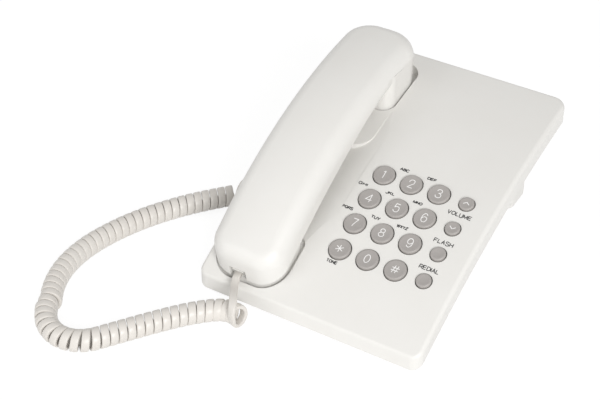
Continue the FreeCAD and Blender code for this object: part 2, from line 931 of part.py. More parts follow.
def crowned_form(inset):
    """The handset's whole bar: crowned on top, rounded along its top edge."""
    radius = handset_top.radius - inset
    half = handset_width / 2 + ear_well_gap
    crown_radius = (handset_width ** 2 / 4 + handset_crown ** 2) / (2 * handset_crown)
    fall = crown_radius - math.sqrt(crown_radius ** 2 - half ** 2)
    core = radius / 2

    def at(x, distance):
        return V(handset_x + x, handset_top.center.y, handset_top.center.z + distance)

    edges = [
        Part.Arc(at(-half, radius - fall), at(0, radius), at(half, radius - fall)).toShape(),
        Part.makeLine(at(half, radius - fall), at(half, core)),
        Part.makeLine(at(half, core), at(-half, core)),
        Part.makeLine(at(-half, core), at(-half, radius - fall)),
    ]
    section = Part.Face(Part.Wire(edges))
    ends = body_depth * 0.6
    turn_front = math.degrees(math.asin((-ends - handset_top.center.y) / handset_top.radius))
    turn_back = math.degrees(math.asin((ends - handset_top.center.y) / handset_top.radius))
    section.rotate(handset_top.center, V(1, 0, 0), -turn_front)
    bar = section.revolve(handset_top.center, V(1, 0, 0), turn_front - turn_back)
    block = bar.common(cover_prism(inset))
    low = box(-reach, reach, -reach, reach, -reach, 0)
    block = block.cut(low)
    top = max(block.Faces, key=lambda face: face.CenterOfMass.z - abs(face.CenterOfMass.x - handset_x) * 9)
    return block.makeFillet(handset_top_round - inset, top.OuterWire.Edges)


def handset_cover():
    outer = crowned_form(0.0)
    inner = crowned_form(handset_wall)
    shell = outer.cut(inner).cut(below_parting(0.0))
    post = screw_diameter + 2 * screw_boss_wall
    posts = [up_cylinder(post, x, y, handset_boss_top(y) + inner_gap, reach / 4)
             for x, y in handset_screw_spots]
    shell = shell.fuse([post.common(inner) for post in posts])
    hole = screw_diameter + 2 * screw_play
    holes = [up_cylinder(hole, x, y, 0, handset_boss_top(y) + handset_screw_length)
             for x, y in handset_screw_spots]
    return shell.cut(holes + [socket_hole()]).removeSplitter()


def ear_under(wall):
    return panel.below(ear_well_depth - seat_gap - wall)


def mouth_under(wall):
    return panel.below(mouth_well_depth - seat_gap - wall)


def handset_lower_form(inset):
    """Outer form of the lower shell, or its hollow when set in by the wall."""
    lid = 0.0 if inset else parting_gap
    grip = grip_prism(inset).common(below_parting(lid)).cut(grip_under.below(-inset))
    if not inset:
        under = edges_of_face_with_radius(grip, grip_under.radius)
        half_width = handset_width / 2 - grip_step
        sides = [e for e in under if abs(abs(e.CenterOfMass.x - handset_x) - half_width) < 1]
        grip = grip.makeFillet(grip_round, sides)
    grip = grip.cut(mouth_under(inset))
    ear = ear_prism(inset).common(below_parting(lid)).cut(ear_under(inset))
    mouth = mouth_prism(inset).common(below_parting(lid)).cut(mouth_under(inset))
    return grip.fuse([ear, mouth]).removeSplitter()


def block_floor(y):
    """Height of the underside of the ear or mouth block."""
    depth = ear_well_depth if y > 0 else mouth_well_depth
    return panel.height(y, depth - seat_gap)


def handset_screw_seat(y):
    return block_floor(y + screw_head_diameter / 2 + screw_boss_wall) + 0.2


def handset_boss_top(y):
    return handset_screw_seat(y) + screw_head_height + screw_boss_wall


def handset_body():
    outer = handset_lower_form(0.0)
    hollow = handset_lower_form(handset_wall)
    shell = outer.cut(hollow)
    boss = screw_head_diameter + 2 * screw_boss_wall
    bosses = [up_cylinder(boss, x, y, 0, handset_boss_top(y)).common(outer) for x, y in handset_screw_spots]
    shell = shell.fuse(bosses)
    head_hole = screw_head_diameter + 4 * screw_play
    hole = screw_diameter + 2 * screw_play
    cuts = ear_holes() + mouth_holes()
    for x, y in handset_screw_spots:
        cuts.append(up_cylinder(head_hole, x, y, 0, handset_screw_seat(y) + screw_head_height))
        cuts.append(up_cylinder(hole, x, y, 0, reach / 4))
    return shell.cut(cuts + [socket_hole()]).removeSplitter()


def handset_screws():
    return Part.makeCompound(
        [screw(x, y, handset_screw_seat(y), handset_screw_length) for x, y in handset_screw_spots])


def ear_holes():
    spots = [(0.0, 0.0)]
    for step in range(ear_hole_count):
        turn = 2 * math.pi * step / ear_hole_count
        spots.append((ear_hole_ring * math.cos(turn), ear_hole_ring * math.sin(turn)))
    low = block_floor(receiver_y)
    return [up_cylinder(ear_hole_diameter, handset_x + x, receiver_y + y, low - 4, low + 4) for x, y in spots]


def mouth_holes():
    low = block_floor(microphone_y)
    places = [handset_x + step * mouth_hole_pitch for step in (-1, 0, 1)]
    return [up_cylinder(mouth_hole_diameter, x, microphone_y, low - 4, low + 4) for x in places]


def ear_inner_point(rise):
    return panel.point(handset_x, receiver_y, ear_well_depth - seat_gap - handset_wall - inner_gap - rise)


def receiver_gasket():
    normal = panel.normal(receiver_y)
    ring = cylinder(receiver_diameter, ear_inner_point(0.0), normal, gasket_height)
    bore = cylinder(receiver_diameter - 2 * gasket_width, ear_inner_point(-1.0), normal, gasket_height + 2)
    return ring.cut(bore)


def receiver_capsule():
    normal = panel.normal(receiver_y)
    can = cylinder(receiver_diameter, ear_inner_point(gasket_height), normal, receiver_height)
    back = ear_inner_point(gasket_height + receiver_height - 1)
    return can.fuse(cylinder(receiver_diameter * 0.55, back, normal, 3.0)).removeSplitter()


def mouth_inner_point(rise):
    return panel.point(handset_x, microphone_y, mouth_well_depth - seat_gap - handset_wall - inner_gap - rise)


def microphone_holder():
    normal = panel.normal(microphone_y)
    outer = microphone_diameter + 2 * microphone_rubber
    ring = cylinder(outer, mouth_inner_point(0.0), normal, microphone_height)
    return ring.cut(cylinder(microphone_diameter, mouth_inner_point(-1.0), normal, microphone_height + 2))


def microphone_capsule():
    normal = panel.normal(microphone_y)
    return cylinder(microphone_diameter, mouth_inner_point(microphone_rubber / 2), normal,
                    microphone_height - microphone_rubber / 2)


def handset_weight():
    tilt = math.degrees(math.asin((grip_under.center.y - weight_y) / grip_under.radius))
    bar = box(-weight_width / 2, weight_width / 2, -weight_length / 2, weight_length / 2, 0, weight_height)
    seat = grip_under.point(handset_x, weight_y, -handset_wall - inner_gap)
    bar.Placement = FreeCAD.Placement(seat, FreeCAD.Rotation(V(1, 0, 0), tilt))
    return bar


# Cord socket in the mouth end of the handset


def socket_way():
    """Way out of the socket, along the panel's slope at the front."""
    normal = panel.normal(handset_front_y)
    return V(0, -normal.z, normal.y)


def socket_mouth():
    return panel.point(socket_x, handset_front_y, -socket_rise) - socket_way() * socket_inset


def socket_box(grow, front, back):
    """A box along the socket, from front to back of its mouth."""
    half_x = socket_width / 2 + grow
    half_z = socket_height / 2 + grow
    shape = box(-half_x, half_x, front, back, -half_z, half_z)
    slope = math.degrees(math.asin(-socket_way().z))
    shape.rotate(V(0, 0, 0), V(1, 0, 0), slope)
    shape.translate(socket_mouth())
    return shape


def socket_hole():
    return socket_box(inner_gap, -3 * handset_wall, 3 * handset_wall)


def handset_socket():
    body = socket_box(0.0, 0.0, socket_depth)
    return body.cut(socket_box(-socket_wall, -1.0, socket_depth - socket_wall))


def cord_plug_handset():
    back = socket_depth - socket_wall - plug_play
    return socket_box(-socket_wall - plug_play, -handset_plug_proud, back)


# Cords


def rounded_path(points):
    """Straight runs with the largest tangent arcs that they allow."""
    edges = []
    start = points[0]
    for before, corner, after in zip(points, points[1:], points[2:]):
        into = corner - before
        out = after - corner
        cut = 0.45 * min(into.Length, out.Length)
        arc_start = corner - into.normalize() * cut
        arc_end = corner + out.normalize() * cut
        edges.append(Part.makeLine(start, arc_start))
        edges.append(tangent_arc(arc_start, corner, arc_end))
        start = arc_end
    edges.append(Part.makeLine(start, points[-1]))
    return edges


def path_radii(edges):
    return [edge.Curve.Radius for edge in edges if edge.Curve.TypeId == "Part::GeomCircle"]


def tube(edges, diameter):
    start = edges[0].valueAt(edges[0].FirstParameter)
    direction = edges[0].tangentAt(edges[0].FirstParameter)
    ring = Part.Wire([Part.makeCircle(diameter / 2, start, direction)])
    sweep = Part.BRepOffsetAPI.MakePipeShell(Part.Wire(edges))
    sweep.add(ring)
    sweep.build()
    sweep.makeSolid()
    return sweep.shape()


def biarc(start, start_way, end, end_way):
    """Two arcs that leave start and reach end along the given ways."""
    across = end - start
    both = start_way + end_way
    spread = 1 - start_way.dot(end_way)
    along = across.dot(both)
    leg = (math.sqrt(along ** 2 + 2 * spread * across.dot(across)) - along) / (2 * spread)
    first_corner = start + start_way * leg
    second_corner = end - end_way * leg
    joint = (first_corner + second_corner) * 0.5
    return [tangent_arc(start, first_corner, joint), tangent_arc(joint, second_corner, end)]


class Route:
    """A path that can be read at any distance along it."""

    def __init__(self, edges):
        self.edges = edges
        self.length = sum(edge.Length for edge in edges)

    def at(self, distance):
        rest = min(max(distance, 0.0), self.length)
        for edge in self.edges:
            if rest <= edge.Length or edge is self.edges[-1]:
                break
            rest -= edge.Length
        place = edge.getParameterByLength(min(rest, edge.Length))
        return edge.valueAt(place), edge.tangentAt(place)


class Curls:
    """A left-hand helix of whole turns round a level route."""

    def __init__(self, route, radius, pitch):
        self.route = route
        self.radius = radius
        self.turns = round(route.length / pitch)

    def point(self, turn):
        center, way = self.route.at(self.route.length * turn / self.turns)
        side = V(-way.y, way.x, 0)
        angle = -2 * math.pi * turn
        return center + side * (self.radius * math.cos(angle)) + V(0, 0, self.radius * math.sin(angle))

    def way(self, turn):
        step = 1e-3
        low = max(turn - step, 0.0)
        high = min(turn + step, self.end_turn())
        return (self.point(high) - self.point(low)).normalize()

    def end_turn(self):
        return self.turns - 0.5

    def edges(self, lead):
        """Half turns as biarcs, with a straight lead at each end."""
        count = int(round(2 * self.end_turn()))
        knots = [(self.point(half / 2), self.way(half / 2)) for half in range(count + 1)]
        first, first_way = knots[0]
        last, last_way = knots[-1]
        edges = [Part.makeLine(first - first_way * lead, first)]
        for (start, start_way), (end, end_way) in zip(knots, knots[1:]):
            edges += biarc(start, start_way, end, end_way)
        edges.append(Part.makeLine(last, last + last_way * lead))
        return edges

    def least_gap(self, wire):
        """Least gap between turns, measured on points of the centre line."""
        steps = 24
        points = [self.point(step / steps) for step in range(int(self.end_turn() * steps) + 1)]
        places = [(p.x, p.y, p.z) for p in points]
        least = reach
        for first in range(len(places)):
            for second in range(first + steps // 2, len(places)):
                least = min(least, math.dist(places[first], places[second]))
        return least - wire


front_corner = V(-body_width / 2, -body_depth / 2, curl_rest_height)
curl_path = rounded_path([front_corner + V(x, y, 0) for x, y in curl_route])
curls = Curls(Route(curl_path), curl_radius, curl_pitch)
curl_edges = curls.edges(wire_diameter)


def curl_end(last):
    """Place and outward way of one end of the curly cord."""
    if last:
        edge = curl_edges[-1]
        return edge.valueAt(edge.LastParameter), edge.tangentAt(edge.LastParameter)
    edge = curl_edges[0]
    return edge.valueAt(edge.FirstParameter), edge.tangentAt(edge.FirstParameter) * -1


def tail_edges(last, steps, plug_end, plug_way):
    place, way = curl_end(last)
    points = [place, place + way * tail_lead]
    points += [plug_end + V(*step) for step in steps]
    points += [plug_end + plug_way * tail_lead, plug_end]
    return rounded_path(points)


handset_tail_path = tail_edges(
    True, handset_tail_steps, socket_mouth() + socket_way() * handset_plug_proud, socket_way())
base_tail_path = tail_edges(
    False, base_tail_steps, jack_place() - V(plug_proud, 0, 0), V(-1, 0, 0))


def write_parts():
    os.makedirs("parts", exist_ok=True)
    pieces = {
        "upper_shell": upper_shell(),
        "bottom_cover": bottom_cover(),
        "rear_stand": rear_stand(),
        "front_feet": front_feet(),
        "rear_feet": rear_feet(),
        "case_screws": case_screws(),
        "main_board": main_board(),
        "key_mat": key_mat(),
        "board_screws": board_screws(),
        "handset_jack": handset_jack(),
        "line_jack": line_jack(),
        "selector_switches": selector_switches(),
        "hook_plunger": hook_plunger(),
        "hook_switch": hook_switch(),
        "hook_spring": hook_spring(),
        "ringer_disc": ringer_disc(),
        "ballast_plate": ballast_plate(),
        "handset_cover": handset_cover(),
        "handset_body": handset_body(),
        "handset_screws": handset_screws(),
        "receiver_gasket": receiver_gasket(),
        "receiver_capsule": receiver_capsule(),
        "microphone_holder": microphone_holder(),
        "microphone_capsule": microphone_capsule(),
        "handset_weight": handset_weight(),
        "handset_socket": handset_socket(),
        "cord_plug_handset": cord_plug_handset(),
        "cord_plug_base": cord_plug_base(),
        "curly_cord": tube(curl_edges, wire_diameter),
        "cord_tail_handset": tube(handset_tail_path, wire_diameter),
        "cord_tail_base": tube(base_tail_path, wire_diameter),
    }
    for name, u, v, diameter in key_spots():
        pieces[name] = middle_key(u, v, diameter) if name == "key_5" else key(u, v, diameter)
    for name, x in selector_spots.items():
        pieces[name] = selector(x)
    for name, shape in pieces.items():
        shape.exportStep(f"parts/{name}.step")
        print(name, len(shape.Solids), shape.isValid(), round(shape.Volume))


write_parts()
section = math.pi * wire_diameter ** 2 / 4
for name, path in (("handset tail", handset_tail_path), ("base tail", base_tail_path)):
    print(name, "radii", [round(radius, 1) for radius in path_radii(path)])
    print(name, "section times length", round(section * sum(edge.Length for edge in path)))
print("curly cord section times length", round(section * sum(edge.Length for edge in curl_edges)))
print("curly cord route radii", [round(radius, 1) for radius in path_radii(curl_path)])
print("curly cord turns", curls.turns, "wire length", round(sum(edge.Length for edge in curl_edges)))
print("curly cord least gap", round(curls.least_gap(wire_diameter), 2))
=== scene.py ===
import bpy
import json
import math
from mathutils import Matrix, Vector
from mathutils.bvhtree import BVHTree


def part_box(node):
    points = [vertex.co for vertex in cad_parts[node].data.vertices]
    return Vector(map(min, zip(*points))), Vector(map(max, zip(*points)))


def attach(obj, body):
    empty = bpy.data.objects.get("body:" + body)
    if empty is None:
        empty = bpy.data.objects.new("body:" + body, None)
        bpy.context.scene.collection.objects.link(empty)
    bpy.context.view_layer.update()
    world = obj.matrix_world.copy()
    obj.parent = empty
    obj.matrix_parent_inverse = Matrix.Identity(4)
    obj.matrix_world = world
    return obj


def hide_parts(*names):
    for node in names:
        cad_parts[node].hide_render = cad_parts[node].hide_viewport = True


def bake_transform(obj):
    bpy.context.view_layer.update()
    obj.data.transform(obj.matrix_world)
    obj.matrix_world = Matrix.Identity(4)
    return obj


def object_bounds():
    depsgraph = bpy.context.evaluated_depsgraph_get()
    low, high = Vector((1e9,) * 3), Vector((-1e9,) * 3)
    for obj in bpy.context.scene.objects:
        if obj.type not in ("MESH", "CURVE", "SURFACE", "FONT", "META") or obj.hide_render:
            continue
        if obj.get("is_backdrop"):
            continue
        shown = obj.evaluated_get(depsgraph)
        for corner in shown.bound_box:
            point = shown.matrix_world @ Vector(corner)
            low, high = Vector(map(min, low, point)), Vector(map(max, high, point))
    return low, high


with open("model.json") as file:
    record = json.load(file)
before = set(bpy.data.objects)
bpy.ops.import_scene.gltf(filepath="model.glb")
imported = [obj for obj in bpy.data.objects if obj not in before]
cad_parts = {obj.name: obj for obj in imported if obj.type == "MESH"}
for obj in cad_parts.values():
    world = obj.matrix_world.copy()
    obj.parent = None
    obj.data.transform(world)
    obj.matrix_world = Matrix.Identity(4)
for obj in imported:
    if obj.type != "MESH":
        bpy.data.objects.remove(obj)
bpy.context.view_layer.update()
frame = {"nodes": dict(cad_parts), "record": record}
nodes = frame["nodes"]
scene = bpy.context.scene
MM = 0.001

# Directions: across the base, to its front, and along and out of the keypad, which is tilted
ACROSS = Vector((1.0, 0.0, 0.0))
TO_FRONT = Vector((0.0, -1.0, 0.0))
KEYPAD_TILT = math.radians(20.13)
UP_PANEL = Vector((0.0, math.cos(KEYPAD_TILT), math.sin(KEYPAD_TILT)))
OUT_OF_PANEL = Vector((0.0, -math.sin(KEYPAD_TILT), math.cos(KEYPAD_TILT)))

# Colours, in linear light
SHELL = (0.81, 0.80, 0.775)
SHELL_WARM = (0.785, 0.77, 0.738)
KEY = (0.40, 0.377, 0.36)
KEY_DARK = (0.365, 0.343, 0.327)
CORD = (0.735, 0.71, 0.67)
CORD_WARM = (0.705, 0.665, 0.62)
INK_DARK = (0.022, 0.021, 0.022)
INK_DARK_WORN = (0.03, 0.029, 0.03)
INK_WHITE = (0.88, 0.87, 0.86)
INK_WHITE_WORN = (0.84, 0.83, 0.82)

# Moulded surfaces: detail of the drift of colour and of the grain, depth of the grain, and uneven gloss
DRIFT_DETAIL = 3.0
GRAIN_DETAIL = 4.0
GRAIN_DEPTH = 0.1 * MM
SMOOTHER_BY = 0.04
ROUGHER_BY = 0.06


def plastic(name, color, second, roughness, grain=0.05, grain_size=0.9, spread=40.0, coat=0.0):
    """Moulded plastic: faint drift of colour, fine eroded grain and uneven gloss."""
    material = bpy.data.materials.new(name)
    material.use_nodes = True
    tree = material.node_tree
    shader = tree.nodes["Principled BSDF"]
    place = tree.nodes.new("ShaderNodeTexCoord")

    drift = tree.nodes.new("ShaderNodeTexNoise")
    drift.inputs["Scale"].default_value = spread
    drift.inputs["Detail"].default_value = DRIFT_DETAIL
    blend = tree.nodes.new("ShaderNodeMix")
    blend.data_type = "RGBA"
    blend.inputs["A"].default_value = (*color, 1.0)
    blend.inputs["B"].default_value = (*second, 1.0)
    tree.links.new(place.outputs["Object"], drift.inputs["Vector"])
    tree.links.new(drift.outputs["Fac"], blend.inputs["Factor"])
    tree.links.new(blend.outputs["Result"], shader.inputs["Base Color"])

    fine = tree.nodes.new("ShaderNodeTexNoise")
    fine.inputs["Scale"].default_value = 1.0 / (grain_size * MM)
    fine.inputs["Detail"].default_value = GRAIN_DETAIL
    bump = tree.nodes.new("ShaderNodeBump")
    bump.inputs["Strength"].default_value = grain
    bump.inputs["Distance"].default_value = GRAIN_DEPTH
    tree.links.new(place.outputs["Object"], fine.inputs["Vector"])
    tree.links.new(fine.outputs["Fac"], bump.inputs["Height"])
    tree.links.new(bump.outputs["Normal"], shader.inputs["Normal"])

    gloss = tree.nodes.new("ShaderNodeMapRange")
    gloss.inputs["To Min"].default_value = roughness - SMOOTHER_BY
    gloss.inputs["To Max"].default_value = roughness + ROUGHER_BY
    tree.links.new(fine.outputs["Fac"], gloss.inputs["Value"])
    tree.links.new(gloss.outputs["Result"], shader.inputs["Roughness"])
    shader.inputs["Coat Weight"].default_value = coat
    return material


def metal(name, color, second, roughness):
    """Turned or stamped metal with a fine grain."""
    material = plastic(name, color, second, roughness, grain=0.08, grain_size=0.6)
    material.node_tree.nodes["Principled BSDF"].inputs["Metallic"].default_value = 1.0
    return material


shell_plastic = plastic("shell_plastic", SHELL, SHELL_WARM, 0.40)
key_plastic = plastic("key_plastic", KEY, KEY_DARK, 0.42, grain=0.06, grain_size=0.5, spread=90.0)
cord_sheath = plastic("cord_sheath", CORD, CORD_WARM, 0.36, grain=0.04, grain_size=0.5, spread=28.0)
plug_plastic = plastic("plug_plastic", (0.78, 0.77, 0.74), (0.72, 0.71, 0.68), 0.16, grain=0.03, coat=0.3)
socket_plastic = plastic("socket_plastic", (0.60, 0.59, 0.56), (0.55, 0.54, 0.51), 0.45)
switch_plastic = plastic("switch_plastic", (0.32, 0.31, 0.30), (0.28, 0.27, 0.26), 0.42)
rubber = plastic("foot_rubber", (0.10, 0.098, 0.095), (0.08, 0.078, 0.076), 0.72, grain=0.2, grain_size=0.7)
mat_rubber = plastic("mat_rubber", (0.30, 0.30, 0.30), (0.26, 0.26, 0.26), 0.65, grain=0.15)
board = plastic("board", (0.27, 0.17, 0.06), (0.24, 0.15, 0.05), 0.5, grain=0.1, grain_size=0.4)
screw_steel = metal("screw_steel", (0.55, 0.55, 0.55), (0.48, 0.48, 0.48), 0.34)
ringer_brass = metal("ringer_brass", (0.62, 0.44, 0.18), (0.56, 0.39, 0.15), 0.33)
iron = metal("weight_iron", (0.22, 0.22, 0.23), (0.18, 0.18, 0.19), 0.55)
capsule_metal = metal("capsule_metal", (0.60, 0.60, 0.61), (0.54, 0.54, 0.55), 0.36)
ink_dark = plastic("ink_dark", INK_DARK, INK_DARK_WORN, 0.5, grain=0.03)
ink_white = plastic("ink_white", INK_WHITE, INK_WHITE_WORN, 0.5, grain=0.03)

BY_SLOT = {
    "shell_plastic": shell_plastic,
    "key_plastic": key_plastic,
    "cord_sheath": cord_sheath,
    "plug_plastic": plug_plastic,
    "socket_plastic": socket_plastic,
    "switch_plastic": switch_plastic,
    "foot_rubber": rubber,
    "mat_rubber": mat_rubber,
    "board": board,
    "screw_steel": screw_steel,
    "spring_steel": screw_steel,
    "ringer_brass": ringer_brass,
    "weight_iron": iron,
    "capsule_metal": capsule_metal,
}
slot_of = {part["node"]: part["material_slot"] for part in frame["record"]["subparts"]}
for name, node in nodes.items():
    node.data.materials.clear()
    node.data.materials.append(BY_SLOT[slot_of[name]])


def smooth_line(points, steps):
    """Points read along the smooth spline that has these control points."""
    curve = bpy.data.curves.new("route", "CURVE")
    curve.dimensions = "3D"
    curve.resolution_u = steps
    spline = curve.splines.new("NURBS")
    spline.points.add(len(points) - 1)
    for spot, point in zip(spline.points, points):
        spot.co = (*point, 1.0)
    spline.order_u = 3
    spline.use_endpoint_u = True
    carrier = bpy.data.objects.new("route", curve)
    scene.collection.objects.link(carrier)
    bpy.context.view_layer.update()
    seen = carrier.evaluated_get(bpy.context.evaluated_depsgraph_get())
    mesh = bpy.data.meshes.new_from_object(seen)
    line = [vertex.co.copy() for vertex in mesh.vertices]
    bpy.data.objects.remove(carrier)
    bpy.data.curves.remove(curve)
    bpy.data.meshes.remove(mesh)
    return line


# Curly cord: control points of its line on the table and of its two tails, in mm
CURL_ROUTE = [
    (-99.0, -20.5), (-113.5, -36.5), (-126.0, -53.5), (-136.5, -71.5),
    (-144.5, -90.5), (-149.8, -110.5), (-150.5, -131.0), (-145.5, -150.0),
    (-136.5, -166.0), (-128.2, -178.8), (-114.1, -184.8), (-99.5, -180.6),
    (-88.8, -166.0), (-76.5, -149.0), (-63.5, -132.5), (-55.2, -123.9),
    (-46.8, -117.0), (-38.6, -114.8), (-31.2, -117.9),
]
BASE_TAIL = [(-83.0, -13.8, 29.6), (-88.2, -18.0, 25.0), (-92.2, -21.4, 19.8)]
HANDSET_TAIL = [(-36.2, -119.7, 18.9), (-39.4, -114.6, 19.6), (-43.9, -106.4, 16.6)]
ROUTE_STEPS = 24
CORD_STEPS = 2

# Turns of the cord, the last of which stays open
CURL_HEIGHT = 7.0 * MM
CURL_RADIUS = 5.6 * MM
CURL_PITCH = 5.25 * MM
TURN_POINTS = 16
OPEN_TURN = 0.5

# Turn that has slipped sideways: its number, how far, and how many turns it fades and changes over
SLIP_TURN = 30.6
SLIP_SIZE = 1.3 * MM
SLIP_FADE = 2.2
SLIP_SHARPNESS = 0.35

# Flat section of the cord
CORD_HALF_WIDTH = 2.4 * MM
CORD_HALF_THICK = 1.25 * MM
CORD_CORNERS = 16
CORD_SQUARENESS = 0.45

# Ends of the tails: straight out of each plug and on from each end of the turns
PLUG_WAY = Vector((0.0, -0.886, -0.464))
PLUG_FACE_DEPTH = 0.1 * MM
PLUG_LEAD = 5.0 * MM
TURN_LEAD = 8.0 * MM


def lengths_along(line):
    total = [0.0]
    for first, second in zip(line, line[1:]):
        total.append(total[-1] + (second - first).length)
    return total


def read_line(line, total, distance):
    """Point and way at a distance along a line of points."""
    spot = 1
    while spot < len(line) - 1 and total[spot] < distance:
        spot += 1
    step = line[spot] - line[spot - 1]
    share = (distance - total[spot - 1]) / (total[spot] - total[spot - 1])
    return line[spot - 1] + step * share, step.normalized()


def slipped(turn):
    """How far a turn lies to one side of the cord's line."""
    past = turn - SLIP_TURN
    return SLIP_SIZE * math.exp(-abs(past) / SLIP_FADE) * math.tanh(past / SLIP_SHARPNESS)


def turning(first, second, count):
    """Directions that turn evenly from one to the other."""
    return [first.lerp(second, (spot + 0.5) / count).normalized() for spot in range(count)]


def rounded(value, half_size):
    """Sine or cosine, squared off, as a distance from the middle of the flat section."""
    return math.copysign(abs(value) ** CORD_SQUARENESS, value) * half_size


def flat_tube(name, line, sides, material):
    """A tube of flat oval section, its long side turned along the given directions."""
    points = []
    faces = []
    last = len(line) - 1
    for spot, center in enumerate(line):
        way = (line[min(spot + 1, last)] - line[max(spot - 1, 0)]).normalized()
        place = spot / last * (len(sides) - 1)
        index = min(int(place), len(sides) - 2)
        side = sides[index].lerp(sides[index + 1], place - index)
        long_side = (side - way * side.dot(way)).normalized()
        short_side = way.cross(long_side)
        for corner in range(CORD_CORNERS):
            angle = 2 * math.pi * corner / CORD_CORNERS
            across = rounded(math.cos(angle), CORD_HALF_WIDTH)
            over = rounded(math.sin(angle), CORD_HALF_THICK)
            points.append(center + long_side * across + short_side * over)
    for spot in range(last):
        low_ring = spot * CORD_CORNERS
        high_ring = low_ring + CORD_CORNERS
        for corner in range(CORD_CORNERS):
            after = (corner + 1) % CORD_CORNERS
            faces.append((low_ring + corner, low_ring + after, high_ring + after, high_ring + corner))
    faces.append(tuple(reversed(range(CORD_CORNERS))))
    faces.append(tuple(range(last * CORD_CORNERS, (last + 1) * CORD_CORNERS)))
    mesh = bpy.data.meshes.new(name)
    mesh.from_pydata([tuple(point) for point in points], [], faces)
    mesh.materials.append(material)
    mesh.shade_smooth()
    tube = bpy.data.objects.new(name, mesh)
    scene.collection.objects.link(tube)
    return tube


middle = smooth_line([Vector((x * MM, y * MM, CURL_HEIGHT)) for x, y in CURL_ROUTE], ROUTE_STEPS)
middle_total = lengths_along(middle)
turns = round(middle_total[-1] / CURL_PITCH)

helix = []
helix_ways = []
for step in range(int((turns - OPEN_TURN) * TURN_POINTS) + 1):
    turn = step / TURN_POINTS
    center, way = read_line(middle, middle_total, middle_total[-1] * turn / turns)
    side = Vector((-way.y, way.x, 0.0))
    center = center - side * slipped(turn)
    angle = -2.0 * math.pi * turn
    rise = Vector((0.0, 0.0, math.sin(angle)))
    helix.append(center + (side * math.cos(angle) + rise) * CURL_RADIUS)
    helix_ways.append(way)

low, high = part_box("cord_plug_base")
base_end = Vector((low.x, (low.y + high.y) / 2, (low.z + high.z) / 2))
plug_points = [vertex.co for vertex in nodes["cord_plug_handset"].data.vertices]
plug_tip = max(point.dot(PLUG_WAY) for point in plug_points)
plug_face = [point for point in plug_points if point.dot(PLUG_WAY) > plug_tip - PLUG_FACE_DEPTH]
handset_end = sum(plug_face, Vector()) / len(plug_face)

first_way = (helix[0] - helix[1]).normalized()
last_way = (helix[-1] - helix[-2]).normalized()
base_tail = [base_end, base_end - ACROSS * PLUG_LEAD]
base_tail += [Vector(point) * MM for point in BASE_TAIL]
base_tail += [helix[0] + first_way * TURN_LEAD]
handset_tail = [helix[-1] + last_way * TURN_LEAD]
handset_tail += [Vector(point) * MM for point in HANDSET_TAIL]
handset_tail += [handset_end + PLUG_WAY * PLUG_LEAD, handset_end]

cord_sides = turning(TO_FRONT, helix_ways[0], len(base_tail))
cord_sides += helix_ways
cord_sides += turning(helix_ways[-1], ACROSS, len(handset_tail))
cord_line = smooth_line(base_tail + helix + handset_tail, CORD_STEPS)

cord = flat_tube("handset_cord", cord_line, cord_sides, cord_sheath)
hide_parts("curly_cord", "cord_tail_base", "cord_tail_handset")
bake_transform(cord)

# Printed characters: how they lie on a surface, and how their strokes are drawn
PRINT_LIFT = 0.06 * MM
PRINT_DEPTH = 0.05 * MM
DROP_HEIGHT = 10.0 * MM
DROP_REACH = 30.0 * MM
OVAL_STEPS = 28
STROKE_STEPS = 6
MITRE_LIMIT = 0.45
CLOSED_GAP = 1e-6


def surface_of(node):
    mesh = node.data
    return BVHTree.FromPolygons([v.co for v in mesh.vertices], [p.vertices for p in mesh.polygons])


def laid_on(mesh, place, carrier):
    """Moves a flat mesh, drawn in metres about its middle, onto a surface of the keypad's tilt."""
    for vertex in mesh.vertices:
        start = place + ACROSS * vertex.co.x + UP_PANEL * vertex.co.y + OUT_OF_PANEL * DROP_HEIGHT
        hit = carrier.ray_cast(start, -OUT_OF_PANEL, DROP_REACH)[0]
        vertex.co = hit + OUT_OF_PANEL * PRINT_LIFT


def printed_piece(name, mesh, body, ink):
    mesh.materials.append(ink)
    made = bpy.data.objects.new(name, mesh)
    scene.collection.objects.link(made)
    thick = made.modifiers.new("thick", "SOLIDIFY")
    thick.thickness = PRINT_DEPTH
    thick.offset = 1.0
    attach(made, body)


def oval(x, y, half_width, half_height):
    """A closed oval stroke."""
    angles = [2 * math.pi / OVAL_STEPS * k for k in range(OVAL_STEPS + 1)]
    return [(x + half_width * math.cos(angle), y + half_height * math.sin(angle)) for angle in angles]


def bent(*points):
    """A smooth stroke with these control points."""
    line = smooth_line([Vector((x, y, 0.0)) for x, y in points], STROKE_STEPS)
    return [(point.x, point.y) for point in line]


def straight(*points):
    """A stroke of straight runs, cut into short steps."""
    line = [points[0]]
    shares = [k / STROKE_STEPS for k in range(1, STROKE_STEPS + 1)]
    for (x0, y0), (x1, y1) in zip(points, points[1:]):
        line += [(x0 + (x1 - x0) * share, y0 + (y1 - y0) * share) for share in shares]
    return line


def ribbon(line, half_width, points, faces):
    """Adds a flat band along a line, with mitred corners."""
    line = [Vector(point) for point in line]
    first = len(points)
    last = len(line) - 1
    closed = (line[0] - line[last]).length < CLOSED_GAP
    for spot, middle_point in enumerate(line):
        before = line[spot] - line[spot - 1] if spot else line[1] - line[0]
        after = line[spot + 1] - line[spot] if spot < last else before
        if closed and spot in (0, last):
            before = line[last] - line[last - 1]
            after = line[1] - line[0]
        before = before.normalized()
        after = after.normalized()
        bisector = (before + after).normalized()
        aside = Vector((-bisector.y, bisector.x)) * (half_width / max(bisector.dot(after), MITRE_LIMIT))
        points.append((*(middle_point + aside), 0.0))
        points.append((*(middle_point - aside), 0.0))
    for spot in range(last):
        corner = first + 2 * spot
        faces.append((corner, corner + 1, corner + 3, corner + 2))


